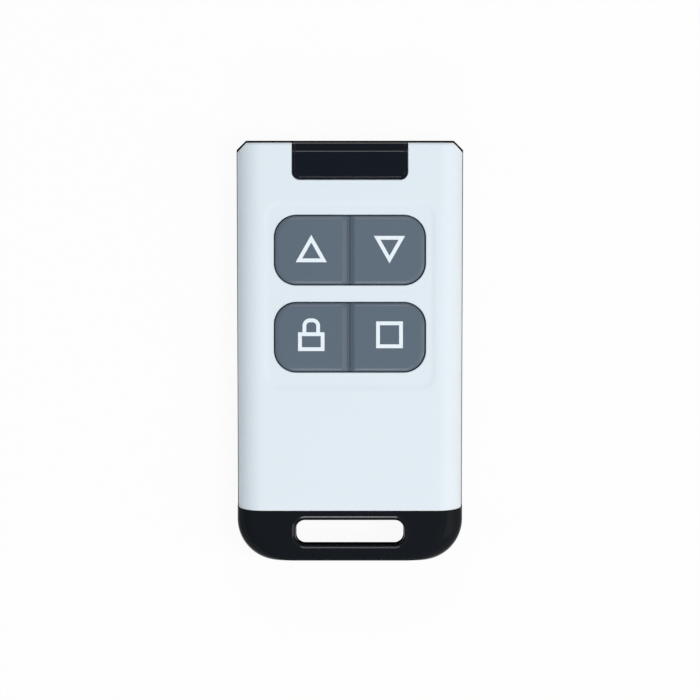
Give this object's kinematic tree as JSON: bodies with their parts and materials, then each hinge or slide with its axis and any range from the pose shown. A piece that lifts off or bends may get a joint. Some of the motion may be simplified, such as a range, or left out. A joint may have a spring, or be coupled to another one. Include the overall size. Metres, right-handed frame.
{
  "type": "garage door remote",
  "caption": "Hand-held garage door remote: white front cover on a black rear case with a lanyard slot, grey press keys with plain symbols and a smoked window.",
  "frame": {"origin": "centre of the outline on the flat rear face", "axes": "+X to the right with the keys in view, +Y to the window end, +Z out of the keys"},
  "size_m": [0.035, 0.0646, 0.011],
  "materials": {
    "case_black": "smooth black moulding",
    "cover_white": "fine satin white moulding",
    "window_smoked": "polished smoked window",
    "key_grey": "satin grey key",
    "legend_white": "white second-shot symbol",
    "board_green": "solder mask",
    "cell_steel": "nickel-plated steel",
    "seal_plastic": "seal ring",
    "contact_plate": "plated spring steel",
    "screw_steel": "plated steel",
    "chip_black": "moulded package",
    "solder_tin": "tinned copper",
    "can_plate": "plated can",
    "ferrite": "ferrite drum",
    "resistor_black": "chip resistor",
    "capacitor_tan": "chip capacitor",
    "light_red": "red indicator",
    "switch_plastic": "switch base",
    "dome_steel": "snap dome",
    "plunger_plastic": "plunger",
    "door_black": "black door",
    "seal_rubber": "seal ring"
  },
  "bodies": {
    "housing": {"rear_case": "case_black", "case_tail": "case_black", "front_cover": "cover_white", "window_lens": "window_smoked", "circuit_board": "board_green", "cell_can": "cell_steel", "cell_seal": "seal_plastic", "cell_cap": "cell_steel", "negative_contact": "contact_plate", "positive_clip": "contact_plate", "case_screws": "screw_steel", "encoder_chip": "chip_black", "chip_leads": "solder_tin", "resonator_can": "can_plate", "transistor": "chip_black", "tuning_coil": "ferrite", "resistors": "resistor_black", "capacitors": "capacitor_tan", "aerial_wire": "solder_tin", "indicator_light": "light_red", "switch_terminals": "solder_tin", "switch_base_up": "switch_plastic", "switch_plate_up": "contact_plate", "dome_up": "dome_steel", "switch_base_down": "switch_plastic", "switch_plate_down": "contact_plate", "dome_down": "dome_steel", "switch_base_lock": "switch_plastic", "switch_plate_lock": "contact_plate", "dome_lock": "dome_steel", "switch_base_stop": "switch_plastic", "switch_plate_stop": "contact_plate", "dome_stop": "dome_steel"},
    "up_key": {"key_up": "key_grey", "legend_up": "legend_white", "plunger_up": "plunger_plastic"},
    "down_key": {"key_down": "key_grey", "legend_down": "legend_white", "plunger_down": "plunger_plastic"},
    "lock_key": {"key_lock": "key_grey", "legend_lock": "legend_white", "plunger_lock": "plunger_plastic"},
    "stop_key": {"key_stop": "key_grey", "legend_stop": "legend_white", "plunger_stop": "plunger_plastic"},
    "door": {"battery_door": "door_black", "door_seal": "seal_rubber"}
  },
  "joints": [
    {"name": "up_key_press", "type": "slide", "parent": "housing", "child": "up_key", "axis": [0, 0, -1], "range_m": [0, 0.0003], "stiffness_N_per_m": 4000, "deforming": ["dome_up"]},
    {"name": "down_key_press", "type": "slide", "parent": "housing", "child": "down_key", "axis": [0, 0, -1], "range_m": [0, 0.0003], "stiffness_N_per_m": 4000, "deforming": ["dome_down"]},
    {"name": "lock_key_press", "type": "slide", "parent": "housing", "child": "lock_key", "axis": [0, 0, -1], "range_m": [0, 0.0003], "stiffness_N_per_m": 4000, "deforming": ["dome_lock"]},
    {"name": "stop_key_press", "type": "slide", "parent": "housing", "child": "stop_key", "axis": [0, 0, -1], "range_m": [0, 0.0003], "stiffness_N_per_m": 4000, "deforming": ["dome_stop"]},
    {"name": "battery_door_turn", "type": "hinge", "parent": "housing", "child": "door", "pos_m": [0, -0.0085, 0], "axis": [0, 0, 1], "range_deg": [0, 45]}
  ]
}
